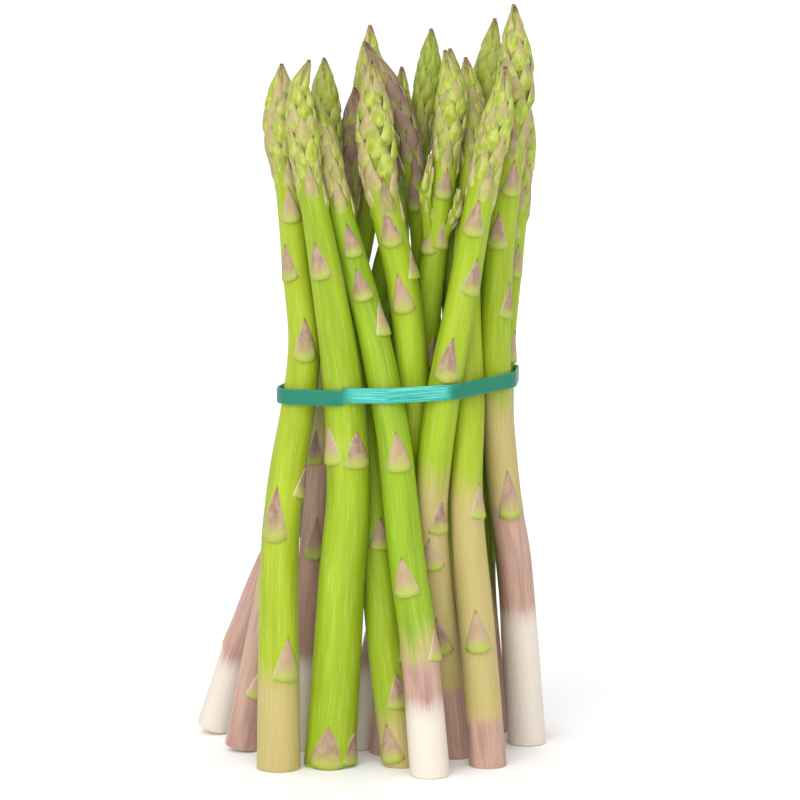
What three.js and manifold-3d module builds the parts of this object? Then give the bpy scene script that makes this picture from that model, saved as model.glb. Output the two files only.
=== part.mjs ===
// Bundle of asparagus: seventeen spears standing on their cut ends, held by one flat rubber band.
// Millimetres, +Z up, the front of the bundle faces -Y, the spears stand on z = 0.
import * as THREE from 'three';
import { mergeVertices } from 'three/addons/utils/BufferGeometryUtils.js';
import Module from 'manifold-3d';

const wasm = await Module();
wasm.setup();

// Whole bundle
const MIDDLE_X = -9.03;
const MIDDLE_Y = 7.34;
const WAIST_HEIGHT = 112;
const LEVEL_STEP = 5;
const BARE_GAP = 0.6;

// Easing the stems apart
const EASE_PASSES = 500;
const SETTLE_PASSES = 120;
const SIDE_SHARE = 0.25;
const DEPTH_SHARE = 1;
const EVEN_OUT = 0.5;
const HOLD_ON = 0.995;

// Stems and heads
const STEM_SIDES = 12;
const RING_SPACING = 24;
const BELOW_FLOOR = 9;
const CORE_SHARE = 0.72;
const CORE_TIP = 0.6;
const SWELL_END = 0.3;
const TAPER_START = 0.42;
const TAPER_POWER = 2.1;
const BLUNT_TIP = 0.18;
const NECK_JOIN = 4;
const HEAD_LEAD = 2;
const TIP_ROOM = 1;
const VARIATION = 0.14;
const GROUND_SIZE = 400;
const GROUND_DEPTH = 60;
const OVER_CORE = 1.04;
const HEAD_SEED = 911;
const HEAD_SEED_STEP = 53;
const FOOT_LEAN_HEIGHT = 4;

// Scales
const GOLDEN_TURN = 137.508;
const STEM_LIFT = 0.85;
const SCALE_ROOT = 1.3;
const STEM_HALF_WIDTH = 46;
const SCALE_POINTING = 0.8;
const HEAD_ROWS = 6;
const SCALES_ROUND = 3;
const ROW_CROWDING = 0.88;
const TIP_RISE = 0.62;
const EDGE_DROP = -0.42;
const EDGE_REACH = 0.82;
const TIP_WIDTH = 0.07;
const SCALE_EDGE_LIFT = 0.35;
const SCALE_TIP_LIFT = 0.4;
const LEAST_ROOT = 0.25;
const TURN_STEP = 15;
const MOST_TURN_STEPS = 12;
const LOW_SCALE_LENGTH = 12;
const HIGH_SCALE_LENGTH = 8.5;
const BELOW_BAND = 7;
const ABOVE_BAND = 5;
const SCALE_CLEAR = 0.75;
const LEAN_ALLOWANCE = 1.14;
const SHOOT_SCALES = 5;
const SHOOT_SCALE_ROOT = 1.5;
const SHOOT_SCALE_LIFT = 0.4;
const SHOOT_STAND = 1.1;
const SHOOT_SIDES = 7;
const SHOOT_RINGS = 4;
const SHOOT_BEND = 1.6;
const SHOOT_CORE = 0.85;
const SHOOT_TIP = 0.2;
const SHOOT_TAPER_START = 0.45;
const SHOOT_TAPER_POWER = 1.6;
const SHOOT_LOWEST_SCALE = 0.3;
const SHOOT_SCALE_STEP = 0.11;
const SHOOT_SCALE_LENGTH = 0.24;
const SHOOT_HALF_WIDTH = 62;
const SHOOT_EDGE_DROP = 0.7;
const SHOOT_LEAST = 0.1;
const SCALE_SPACING = 13;
const RULE_STEP_LOW = 50;
const RULE_STEP_HIGH = 25;
const RULE_STEP_LEAST = 0.85;
const RULE_STEP_SPREAD = 0.3;
const LOWEST_SCALE = 22;
const LOWEST_SPREAD = 12;
const BELOW_HEAD = 6;
const BACK_SIDE = -0.2;
const SCALE_SEED = 101;
const SCALE_SEED_STEP = 37;

// Rubber band
const BAND_WIDTH = 4.6;
const BAND_THICKNESS = 0.9;
const BAND_GAP = 0.6;
const BAND_HEIGHT = 114;
const BAND_SLOPE = 0.054;
const BAND_STEPS = 48;
const BAND_LEAN_SPAN = 2;

const SKIN_ROUGHNESS = 0.5;
const BAND_ROUGHNESS = 0.35;

const GREEN = 0x9fbf3a;
const PALE_GREEN = 0xb4cf5c;
const BRIGHT_GREEN = 0x8fc424;
const TAN_GREEN = 0xa9ae58;
const BLUSH = 0xc9a79c;
const PURPLE = 0xa07f7c;
const DARK_GREEN = 0x7c9a35;
const TEAL = 0x14a596;

// Each spear: points of its centre line (x, y, z); radii at the foot, waist, neck and head;
// the height at which the head starts; the height of the tip; and the scales that show on the
// stem, each as height, turn about the stem in degrees (-90 faces the front) and length.
const SPEARS = [
  {
    name: 'spear_front_left', colour: GREEN, foot: 'flat',
    line: [[-36.5, -15, 0], [-36, -11, 63], [-34, -9.5, 87], [-30, -8, 111], [-28.5, -7.5, 129],
      [-30.5, -7, 150], [-32.5, -6, 171], [-35, -5.5, 191], [-35, -5, 211]],
    girth: [6.6, 5.1, 4, 5.4], headFrom: 178, tip: 211,
    scales: [[28, -62, 12], [70, -115, 15], [83, -20, 9], [124, -84, 12], [148, -130, 10], [165, -92, 10]],
  },
  {
    name: 'spear_front_thick', colour: PALE_GREEN, foot: 'flat',
    line: [[-21, -9, 0], [-17, -10.5, 51], [-14.5, -11, 81], [-15, -11.5, 102], [-16.5, -12, 121],
      [-20, -12.5, 148], [-23.5, -13, 166], [-26.5, -13.5, 180], [-29, -14, 205], [-26, -14, 213]],
    girth: [7.7, 6.2, 3.8, 4.6], headFrom: 176, tip: 213,
    scales: [[1.5, -128, 12], [2.5, -28, 9], [93, -62, 10], [94, -145, 11], [150, -112, 10]],
  },
  {
    name: 'spear_front_diagonal', colour: BRIGHT_GREEN, foot: 'flat',
    line: [[9, -24, 0], [5.5, -21, 40], [2.5, -19, 61], [-2, -16, 100], [-4.5, -15, 113],
      [-8, -13.5, 128], [-17, -9.5, 159], [-23.5, -6, 189], [-26.5, -5, 200]],
    girth: [6, 5, 3.9, 4.1], headFrom: 172, tip: 200,
    scales: [[35, -22, 9], [55, -106, 11], [92, -80, 11], [131, -20, 9], [142, -88, 9], [155, -75, 9]],
  },
  {
    name: 'spear_front_centre', colour: GREEN, foot: 'flat',
    line: [[-6.5, 10, 0], [-1, 1, 51], [1.5, -4, 80], [3.5, -10, 114], [1, -10.5, 144],
      [-6, -11.5, 177], [-7.5, -11.5, 195], [-8.5, -12, 213]],
    girth: [5.2, 5, 4.5, 5.8], headFrom: 170, tip: 213,
    scales: [[120, -45, 9], [139, -100, 11], [148, -20, 8], [159, -92, 10]],
  },
  {
    name: 'spear_front_right_bent', colour: TAN_GREEN, foot: 'flat',
    line: [[16.5, 5, 0], [13.5, 0.5, 30], [8.5, -5.5, 68], [8, -7.5, 81], [12, -12.5, 112],
      [18, -13.5, 142], [23.5, -13.5, 172], [29.5, -14, 200], [31, -14, 211]],
    girth: [5.2, 5.1, 4.2, 4.7], headFrom: 176, tip: 211,
    scales: [[35, -85, 11], [62, -140, 9], [73, -22, 9], [119, -95, 12], [145, -60, 10], [162, -96, 10]],
  },
  {
    name: 'spear_right_tan', colour: TAN_GREEN, foot: 'flat',
    line: [[26.5, -11, 0], [23, -9, 44], [20, -7.5, 80], [21, -6, 111], [20.5, -2, 146],
      [22, 1.5, 176], [21.5, 3.5, 191], [19.5, 6, 212]],
    girth: [5.7, 4.8, 4, 4.4], headFrom: 182, tip: 212,
    scales: [[36, -90, 12], [76, -35, 10], [133, -70, 9], [160, -100, 9]],
  },
  {
    name: 'spear_right_tall', colour: BLUSH, foot: 'flat',
    line: [[39, 19, 0], [34.5, 8, 59], [31.5, 4.5, 78], [28, -2, 116], [27.5, -2.5, 134],
      [29, -3, 155], [32.5, -3.5, 185], [34, -3.5, 206], [33.5, -4, 228.5]],
    girth: [5.8, 4.7, 4.2, 5.6], headFrom: 186, tip: 228.5,
    scales: [[75, -72, 14], [136, -35, 10], [157, -108, 10], [173, -70, 10]],
  },
  {
    name: 'spear_right_edge', colour: GREEN, foot: 'flat',
    line: [[35, 38, 0], [29.5, 22.5, 63], [29.5, 9.5, 117], [32.5, 8.5, 148], [34.5, 8.5, 166],
      [38, 8, 199]],
    girth: [4.8, 4, 3.6, 3.9], headFrom: 170, tip: 199,
    scales: [[121, -70, 9], [147, -60, 9], [158, -100, 8]],
  },
  {
    name: 'spear_middle_low', colour: PALE_GREEN, foot: 'flat',
    line: [[0.5, -10, 0], [-4, -7.5, 35], [-8, -4, 83], [-11.5, -2, 110], [-16, 1, 146],
      [-21, 4.5, 193], [-21.5, 6, 212]],
    girth: [5.5, 4.6, 4, 4.9], headFrom: 179, tip: 212,
    scales: [[2.5, -117, 11], [18.4, -61, 10], [66, -83, 9]],
  },
  {
    name: 'spear_left_purple', colour: PURPLE, foot: 'flat',
    line: [[-29.5, 12, 0], [-26, 6, 69], [-23.5, 3, 100], [-19.5, 2, 131], [-16.5, 2, 170],
      [-14.5, 2, 203]],
    girth: [4.9, 3.7, 3.5, 4], headFrom: 172, tip: 203,
    scales: [[62, -84, 12], [91, -120, 9]],
  },
  {
    name: 'spear_back_left_long', colour: BLUSH, foot: 'square',
    line: [[-58.5, 34, 0], [-44.5, 25.5, 43], [-30.5, 19, 76], [-16, 12, 109], [-8.5, 12, 129],
      [-4, 12, 150], [4.5, 12, 178], [8.5, 12, 205], [9.5, 12, 220]],
    girth: [5.2, 4.2, 3.3, 4], headFrom: 190, tip: 220,
    scales: [],
  },
  {
    name: 'spear_back_left_red', colour: PURPLE, foot: 'square',
    line: [[-48.5, 9, 0], [-38, 9.5, 53], [-25, 11, 108], [-14.5, 10, 145], [-10, 10, 169],
      [-9.5, 11, 187], [-9, 12, 221]],
    girth: [5.1, 4.4, 3.6, 4.7], headFrom: 185, tip: 221,
    scales: [[18, -66, 10], [172, -90, 9]],
  },
  {
    name: 'spear_back_leaning', colour: PURPLE, foot: 'flat',
    line: [[19.5, 8, 0], [14, 8.5, 71], [11, 9, 108], [7.5, 6, 157], [3, 4, 184], [-4.5, 2.5, 206],
      [-10.5, 2, 217]],
    girth: [4.8, 4.2, 3.6, 4.4], headFrom: 178, tip: 217,
    scales: [[168, -96, 9]],
  },
  {
    name: 'spear_centre_with_shoots', colour: GREEN, foot: 'flat', shoots: true,
    line: [[-11, 6, 0], [0, 3, 60], [3.5, 2, 79], [7, 0, 116], [10, -1.5, 152], [14, -3, 185],
      [15.5, -3.5, 202], [13.5, -4, 215]],
    girth: [5, 4.1, 3.8, 4.8], headFrom: 184, tip: 215,
    scales: [[121, -84, 9], [155, -125, 8], [157, -45, 8], [172, -80, 9]],
  },
  {
    name: 'spear_back_thin', colour: DARK_GREEN, foot: 'flat',
    line: [[4.5, 30, 0], [1, 20, 69], [-1, 14, 107], [-0.5, 15, 153], [0.5, 16, 208]],
    girth: [4, 3.4, 3, 3.3], headFrom: 180, tip: 208,
    scales: [],
  },
  {
    name: 'spear_back_centre', colour: DARK_GREEN, foot: 'flat',
    line: [[24.5, 28, 0], [20, 13, 77], [17, 6.5, 109], [15.5, 7.5, 139], [17.5, 11, 193],
      [15.5, 12, 214]],
    girth: [4.6, 4, 3.6, 4], headFrom: 182, tip: 214,
    scales: [],
  },
  {
    name: 'spear_back_right', colour: GREEN, foot: 'flat',
    line: [[31, 34, 0], [28, 22, 69], [25, 17, 108], [24, 12, 163], [24.5, 12, 196],
      [28, 12, 223]],
    girth: [4.6, 4, 3.6, 4.2], headFrom: 190, tip: 223,
    scales: [[38, -70, 10]],
  },
];

// Side shoots on the centre spear: height of the base, turn, length and radius
const SIDE_SHOOTS = [
  { z: 157, turn: -140, length: 27, radius: 2.1 },
  { z: 158, turn: -38, length: 17, radius: 1.9 },
];

const DEGREE = Math.PI / 180;

const blend = (a, b, t) => a + (b - a) * t;
const clamp01 = (t) => Math.min(1, Math.max(0, t));
const ease = (t) => clamp01(t) ** 2 * (3 - 2 * clamp01(t));

// Seeded draws, so that the part is the same each time it is built.
function makeDraw(seed) {
  let state = seed;
  return () => {
    state = (state * 16807) % 2147483647;
    return state / 2147483647;
  };
}

// Smooth value through points (z, value), with slopes taken from the neighbours.
function through(zs, values, z) {
  const last = zs.length - 1;
  const slopeAt = (i) => {
    const lo = Math.max(0, i - 1);
    const hi = Math.min(last, i + 1);
    return (values[hi] - values[lo]) / (zs[hi] - zs[lo]);
  };
  if (z <= zs[0]) {
    return values[0] + slopeAt(0) * (z - zs[0]);
  }
  if (z >= zs[last]) {
    return values[last] + slopeAt(last) * (z - zs[last]);
  }
  let i = 0;
  while (zs[i + 1] < z) {
    i += 1;
  }
  const span = zs[i + 1] - zs[i];
  const t = (z - zs[i]) / span;
  const a = (1 + 2 * t) * (1 - t) ** 2;
  const b = t * (1 - t) ** 2;
  const c = t * t * (3 - 2 * t);
  const d = t * t * (t - 1);
  return a * values[i] + b * span * slopeAt(i) + c * values[i + 1] + d * span * slopeAt(i + 1);
}

// Radius of a spear at a height, out to the backs of the head scales.
function outline(spear, z) {
  const [foot, waist, neck, head] = spear.girth;
  if (z <= WAIST_HEIGHT) {
    return blend(foot, waist, clamp01(z / WAIST_HEIGHT));
  }
  if (z <= spear.headFrom) {
    return blend(waist, neck, (z - WAIST_HEIGHT) / (spear.headFrom - WAIST_HEIGHT));
  }
  const t = clamp01((z - spear.headFrom) / (spear.tip - spear.headFrom));
  const full = blend(neck, head, ease(t / SWELL_END));
  const taper = 1 - clamp01((t - TAPER_START) / (1 - TAPER_START)) ** TAPER_POWER;
  return full * Math.max(BLUNT_TIP, taper);
}

// Radius of the smooth core that carries the scales.
function core(spear, z) {
  const t = ease((z - spear.headFrom) / (SWELL_END * (spear.tip - spear.headFrom)));
  return Math.max(CORE_TIP, outline(spear, z) * blend(1, CORE_SHARE, t));
}

// Eases the centre lines apart level by level until no two spears touch.
function easeApart(spears) {
  const lines = spears.map((spear) => {
    const zs = spear.line.map((p) => p[2]);
    const count = Math.ceil(spear.tip / LEVEL_STEP) + 1;
    const levels = Array.from({ length: count }, (_, k) => k * LEVEL_STEP);
    const wantX = levels.map((z) => through(zs, spear.line.map((p) => p[0]), z));
    const wantY = levels.map((z) => through(zs, spear.line.map((p) => p[1]), z));
    const room = levels.map((z, k) => {
      const lo = Math.max(0, k - 1);
      const hi = Math.min(count - 1, k + 1);
      const lean = Math.hypot(wantX[hi] - wantX[lo], wantY[hi] - wantY[lo]) / (levels[hi] - levels[lo]);
      return outline(spear, Math.min(z, spear.tip)) * Math.hypot(1, lean) + BARE_GAP / 2;
    });
    return { levels, wantX, wantY, room, x: wantX.slice(), y: wantY.slice() };
  });
  const highest = Math.max(...lines.map((line) => line.levels.length));
  for (let pass = 0; pass < EASE_PASSES + SETTLE_PASSES; pass += 1) {
    for (let k = 0; k < highest; k += 1) {
      for (let i = 0; i < lines.length; i += 1) {
        for (let j = i + 1; j < lines.length; j += 1) {
          const a = lines[i];
          const b = lines[j];
          if (k < a.levels.length && k < b.levels.length) {
            const dx = b.x[k] - a.x[k];
            const dy = b.y[k] - a.y[k];
            const apart = Math.hypot(dx, dy);
            const short = a.room[k] + b.room[k] - apart;
            if (short > 0) {
              const pushX = (SIDE_SHARE * short * dx) / apart / 2;
              const pushY = (DEPTH_SHARE * short * dy) / apart / 2;
              a.x[k] -= pushX;
              a.y[k] -= pushY;
              b.x[k] += pushX;
              b.y[k] += pushY;
            }
          }
        }
      }
    }
    if (pass < EASE_PASSES) {
      for (const line of lines) {
        for (const [now, want] of [[line.x, line.wantX], [line.y, line.wantY]]) {
          const off = now.map((value, k) => value - want[k]);
          const last = off.length - 1;
          for (let k = 0; k <= last; k += 1) {
            const beside = (off[Math.max(0, k - 1)] + off[Math.min(last, k + 1)]) / 2;
            now[k] = want[k] + HOLD_ON * blend(off[k], beside, EVEN_OUT);
          }
        }
      }
    }
  }
  return lines;
}

const lines = easeApart(SPEARS);

// Centre of spear i at height z, in the finished frame.
function centre(i, z) {
  const line = lines[i];
  return new THREE.Vector3(
    through(line.levels, line.x, z) - MIDDLE_X,
    through(line.levels, line.y, z) - MIDDLE_Y,
    z,
  );
}

// Point beside the centre line: turned about the spear and set out by a radius.
function beside(i, z, turn, radius) {
  const tangent = centre(i, z + 1).sub(centre(i, z - 1)).normalize();
  const right = new THREE.Vector3(1, 0, 0).addScaledVector(tangent, -tangent.x).normalize();
  const away = new THREE.Vector3().crossVectors(tangent, right);
  return centre(i, z)
    .addScaledVector(right, radius * Math.cos(turn * DEGREE))
    .addScaledVector(away, radius * Math.sin(turn * DEGREE));
}

function toSolid(geometry) {
  geometry.deleteAttribute('normal');
  geometry.deleteAttribute('uv');
  const merged = mergeVertices(geometry, 1e-5);
  return new wasm.Manifold(new wasm.Mesh({
    numProp: 3,
    vertProperties: new Float32Array(merged.attributes.position.array),
    triVerts: new Uint32Array(merged.index.array),
  }));
}

// Moves every vertex of a geometry to the point that the rule gives for it.
function shaped(geometry, rule) {
  const at = geometry.attributes.position;
  const from = new THREE.Vector3();
  for (let n = 0; n < at.count; n += 1) {
    from.fromBufferAttribute(at, n);
    const to = rule(from);
    at.setXYZ(n, to.x, to.y, to.z);
  }
  return toSolid(geometry);
}

// Height of the foot's middle where the end is cut square to a leaning stem, so that its edge rests
// on the floor.
function squareStart(i) {
  const way = centre(i, FOOT_LEAN_HEIGHT).sub(centre(i, 0)).normalize();
  return SPEARS[i].girth[0] * Math.hypot(way.x, way.y);
}

// One ring of a spear: its height and radius at a turn, for the smooth stem and for the rows of
// scales on the head. Each row leans out from the core and steps back in under its pointed tips.
function ringPoint(i, ring, stemRings, start, turn, draws) {
  const spear = SPEARS[i];
  if (ring < stemRings) {
    const z = blend(start, spear.headFrom - NECK_JOIN, ring / (stemRings - 1));
    return [z, core(spear, Math.max(0, z))];
  }
  const row = Math.floor((ring - stemRings) / 2);
  const outer = (ring - stemRings) % 2 === 1;
  const tall = spear.tip - spear.headFrom + HEAD_LEAD;
  const rowFoot = (n) => spear.headFrom - HEAD_LEAD + tall * (n / (HEAD_ROWS + 1)) ** ROW_CROWDING;
  const pitch = rowFoot(row + 1) - rowFoot(row);
  if (!outer) {
    const z = Math.min(rowFoot(row), spear.tip - TIP_ROOM);
    return [z, core(spear, z)];
  }
  const phase = turn / (360 / SCALES_ROUND) + row / 2;
  const toTip = 1 - 2 * Math.abs(phase - Math.round(phase));
  const which = ((Math.round(phase) % SCALES_ROUND) + SCALES_ROUND) % SCALES_ROUND;
  const vary = draws[row * SCALES_ROUND + which];
  const z = rowFoot(row + 1) + pitch * blend(EDGE_DROP, TIP_RISE * vary, toTip);
  const reach = outline(spear, Math.min(z, spear.tip - TIP_ROOM)) * blend(EDGE_REACH, vary, toTip);
  return [Math.min(z, spear.tip), Math.max(core(spear, z) * OVER_CORE, reach)];
}

function stemSolid(i) {
  const spear = SPEARS[i];
  const draw = makeDraw(HEAD_SEED + HEAD_SEED_STEP * i);
  const draws = Array.from({ length: HEAD_ROWS * SCALES_ROUND }, () => 1 - VARIATION * draw());
  const start = spear.foot === 'square' ? squareStart(i) : -BELOW_FLOOR;
  const stemRings = Math.round(spear.headFrom / RING_SPACING) + 1;
  const rings = stemRings + 2 * HEAD_ROWS;
  const tube = new THREE.CylinderGeometry(1, 1, 1, STEM_SIDES, rings);
  const spin = 360 * draw();
  const solid = shaped(tube, (p) => {
    const ring = Math.round((p.y + 0.5) * rings);
    const onAxis = Math.hypot(p.x, p.z) < 0.5;
    const turn = (Math.round((Math.atan2(-p.z, p.x) / DEGREE) * STEM_SIDES / 360) * 360) / STEM_SIDES;
    if (ring === rings) {
      return beside(i, spear.tip, turn + spin, onAxis ? 0 : CORE_TIP);
    }
    const [z, radius] = ringPoint(i, ring, stemRings, start, turn, draws);
    return beside(i, z, turn + spin, onAxis ? 0 : radius);
  });
  return solid.subtract(groundSolid());
}

function groundSolid() {
  const ground = new THREE.BoxGeometry(GROUND_SIZE, GROUND_SIZE, GROUND_DEPTH);
  ground.translate(0, 0, -GROUND_DEPTH / 2);
  return toSolid(ground);
}

// A pointed scale that clasps the stem: a bent block, wide at its foot, drawn in to a tip.
function scaleSolid(i, scale) {
  const spear = SPEARS[i];
  const block = new THREE.BoxGeometry(2, 1, 1, 2, 1, 1);
  return shaped(block, (p) => {
    const up = p.y + 0.5;
    const side = p.x * Math.max(TIP_WIDTH, (1 - up) ** SCALE_POINTING);
    const z = scale.z + up * scale.length;
    const turn = scale.turn + side * STEM_HALF_WIDTH;
    if (p.z < 0) {
      return beside(i, z, turn, Math.max(LEAST_ROOT, core(spear, Math.min(z, spear.tip)) - SCALE_ROOT));
    }
    const ridge = up < 0.5 ? 1 : SCALE_TIP_LIFT;
    const edge = up < 0.5 ? SCALE_EDGE_LIFT : SCALE_TIP_LIFT;
    const lift = STEM_LIFT * blend(ridge, edge, Math.abs(p.x));
    return beside(i, z, turn, core(spear, Math.min(z, spear.tip)) + lift);
  });
}

// A stem scale has room when its back clears every other spear.
function hasRoom(i, scale) {
  const spots = [[0, 0], [0.5, 0], [0, 0.7], [0, -0.7], [1, 0]];
  return spots.every(([up, side]) => {
    const z = scale.z + up * scale.length;
    const lift = STEM_LIFT * (up === 1 ? SCALE_TIP_LIFT : 1);
    const spot = beside(i, z, scale.turn + side * STEM_HALF_WIDTH, core(SPEARS[i], z) + lift);
    return SPEARS.every((other, j) => {
      if (j === i || spot.z > other.tip) {
        return true;
      }
      const middle = centre(j, spot.z);
      const reach = outline(other, spot.z) + SCALE_CLEAR;
      return Math.hypot(spot.x - middle.x, spot.y - middle.y) > reach * LEAN_ALLOWANCE;
    });
  });
}

// Turns a scale away from its neighbours by the smallest step that gives it room.
function settle(i, scale) {
  for (let step = 0; step <= MOST_TURN_STEPS; step += 1) {
    for (const side of [1, -1]) {
      const moved = { ...scale, turn: scale.turn + side * step * TURN_STEP };
      if (hasRoom(i, moved)) {
        return moved;
      }
    }
  }
  return null;
}

// The scales of one stem: those that show in the front view, then more round the back by a rule.
function stemScales(i) {
  const spear = SPEARS[i];
  const draw = makeDraw(SCALE_SEED + SCALE_SEED_STEP * i);
  const found = [];
  const near = (z) => found.some((scale) => Math.abs(scale.z - z) < SCALE_SPACING);
  for (const [z, turn, length] of spear.scales) {
    found.push({ z, turn, length, seen: true });
  }
  let turn = 360 * draw();
  let z = LOWEST_SCALE + LOWEST_SPREAD * draw();
  while (z < spear.headFrom - BELOW_HEAD) {
    const length = blend(LOW_SCALE_LENGTH, HIGH_SCALE_LENGTH, z / spear.headFrom);
    if (!near(z) && (z + length < BAND_HEIGHT - BELOW_BAND || z > BAND_HEIGHT + ABOVE_BAND)) {
      found.push({ z, turn, length, seen: false });
    }
    turn += GOLDEN_TURN;
    const uneven = RULE_STEP_LEAST + RULE_STEP_SPREAD * draw();
    z += blend(RULE_STEP_LOW, RULE_STEP_HIGH, z / spear.headFrom) * uneven;
  }
  return found
    .map((scale) => settle(i, scale))
    .filter((scale) => scale !== null)
    .filter((scale) => scale.seen || Math.sin(scale.turn * DEGREE) > BACK_SIDE);
}

// A small shoot that grows from behind a scale and stands close along the stem.
function shootSolids(i) {
  const spear = SPEARS[i];
  const solids = [];
  for (const shoot of SIDE_SHOOTS) {
    const rod = new THREE.CylinderGeometry(1, 1, 1, SHOOT_SIDES, SHOOT_RINGS);
    const stand = shoot.radius * SHOOT_STAND;
    const axis = (t) => core(spear, shoot.z) + blend(-1, stand, ease(t * SHOOT_BEND));
    const tapered = (t) => clamp01((t - SHOOT_TAPER_START) / (1 - SHOOT_TAPER_START)) ** SHOOT_TAPER_POWER;
    const thick = (t) => shoot.radius * Math.max(SHOOT_TIP, 1 - tapered(t));
    const put = (t, around, out) => {
      const hub = beside(i, shoot.z + t * shoot.length, shoot.turn, axis(t));
      return hub.add(new THREE.Vector3(out * Math.cos(around), out * Math.sin(around), 0));
    };
    solids.push(shaped(rod, (p) => {
      const t = p.y + 0.5;
      const rim = Math.hypot(p.x, p.z) > 0.5 ? SHOOT_CORE * thick(t) : 0;
      return put(t, Math.atan2(-p.z, p.x), rim);
    }));
    for (let n = 0; n < SHOOT_SCALES; n += 1) {
      const low = SHOOT_LOWEST_SCALE + SHOOT_SCALE_STEP * n;
      const block = new THREE.BoxGeometry(2, 1, 1, 2, 1, 1);
      solids.push(shaped(block, (p) => {
        const up = p.y + 0.5;
        const side = p.x * SHOOT_HALF_WIDTH * Math.max(TIP_WIDTH, 1 - up);
        const around = (n * GOLDEN_TURN + side) * DEGREE;
        const t = Math.min(1, low + up * SHOOT_SCALE_LENGTH);
        const back = SHOOT_SCALE_LIFT * (1 - SHOOT_EDGE_DROP * Math.abs(p.x));
        const lift = p.z < 0 ? -SHOOT_SCALE_ROOT : back;
        return put(t, around, Math.max(SHOOT_LEAST, SHOOT_CORE * thick(t) + lift));
      }));
    }
  }
  return solids;
}

function spearSolid(i) {
  let solid = stemSolid(i);
  for (const scale of stemScales(i)) {
    solid = solid.add(scaleSolid(i, scale));
  }
  if (SPEARS[i].shoots) {
    for (const piece of shootSolids(i)) {
      solid = solid.add(piece);
    }
  }
  return solid.subtract(groundSolid());
}

// Farthest reach of the bundle in a direction over the band's width, where the band lies on it.
function bandPoint(turn, middleHeight, out) {
  const way = [Math.cos(turn), Math.sin(turn)];
  let best = null;
  SPEARS.forEach((spear, i) => {
    for (const z of [middleHeight - BAND_WIDTH / 2, middleHeight + BAND_WIDTH / 2]) {
      const low = centre(i, z - BAND_LEAN_SPAN);
      const high = centre(i, z + BAND_LEAN_SPAN);
      const lean = Math.hypot(high.x - low.x, high.y - low.y) / (2 * BAND_LEAN_SPAN);
      const radius = outline(spear, z) * Math.hypot(1, lean);
      const middle = centre(i, z);
      const reach = middle.x * way[0] + middle.y * way[1] + radius;
      if (best === null || reach > best.reach) {
        best = { reach, middle, radius };
      }
    }
  });
  return [
    best.middle.x + (best.radius + out) * way[0],
    best.middle.y + (best.radius + out) * way[1],
  ];
}

// The closed flat band: its four corners carried round the bundle.
function bandSolid() {
  const points = [];
  const faces = [];
  for (let n = 0; n < BAND_STEPS; n += 1) {
    const turn = (n / BAND_STEPS) * 2 * Math.PI;
    const level = BAND_HEIGHT + BAND_SLOPE * bandPoint(turn, BAND_HEIGHT, 0)[0];
    for (const [up, out] of [[-0.5, 0], [-0.5, 1], [0.5, 1], [0.5, 0]]) {
      const at = bandPoint(turn, level, BAND_GAP + out * BAND_THICKNESS);
      points.push(at[0], at[1], level + up * BAND_WIDTH);
    }
    const next = (n + 1) % BAND_STEPS;
    for (let c = 0; c < 4; c += 1) {
      const d = (c + 1) % 4;
      faces.push(4 * n + c, 4 * next + c, 4 * next + d);
      faces.push(4 * n + c, 4 * next + d, 4 * n + d);
    }
  }
  return new wasm.Manifold(new wasm.Mesh({
    numProp: 3,
    vertProperties: new Float32Array(points),
    triVerts: new Uint32Array(faces),
  }));
}

function toMesh(name, solid, colour, roughness) {
  const shape = solid.getMesh();
  const geometry = new THREE.BufferGeometry();
  geometry.setAttribute('position', new THREE.BufferAttribute(new Float32Array(shape.vertProperties), 3));
  geometry.setIndex(new THREE.BufferAttribute(new Uint32Array(shape.triVerts), 1));
  geometry.computeVertexNormals();
  const material = new THREE.MeshStandardMaterial({ color: colour, roughness, metalness: 0 });
  material.flatShading = true;
  const mesh = new THREE.Mesh(geometry, material);
  mesh.name = name;
  return mesh;
}

const group = new THREE.Group();
group.name = 'asparagus_bundle';
SPEARS.forEach((spear, i) => {
  group.add(toMesh(spear.name, spearSolid(i), spear.colour, SKIN_ROUGHNESS));
});
group.add(toMesh('rubber_band', bandSolid(), TEAL, BAND_ROUGHNESS));

export default group;
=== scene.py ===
"""A bundle of asparagus on a pale floor: seventeen spears with their scales, and a teal rubber band."""

import math
import random

import bmesh
import bpy
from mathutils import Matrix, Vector


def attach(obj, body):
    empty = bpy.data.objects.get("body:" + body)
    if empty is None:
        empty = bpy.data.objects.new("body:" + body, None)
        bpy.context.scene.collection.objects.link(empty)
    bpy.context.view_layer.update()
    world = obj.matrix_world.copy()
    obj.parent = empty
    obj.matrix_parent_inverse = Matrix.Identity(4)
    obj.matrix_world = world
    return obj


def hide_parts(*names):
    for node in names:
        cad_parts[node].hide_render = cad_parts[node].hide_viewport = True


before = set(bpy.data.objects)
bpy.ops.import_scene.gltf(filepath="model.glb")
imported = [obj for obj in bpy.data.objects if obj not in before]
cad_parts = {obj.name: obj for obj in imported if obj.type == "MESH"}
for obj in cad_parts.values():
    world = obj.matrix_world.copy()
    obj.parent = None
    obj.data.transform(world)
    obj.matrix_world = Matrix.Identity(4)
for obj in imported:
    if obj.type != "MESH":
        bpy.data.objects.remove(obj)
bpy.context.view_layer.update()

MM = 0.001

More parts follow.
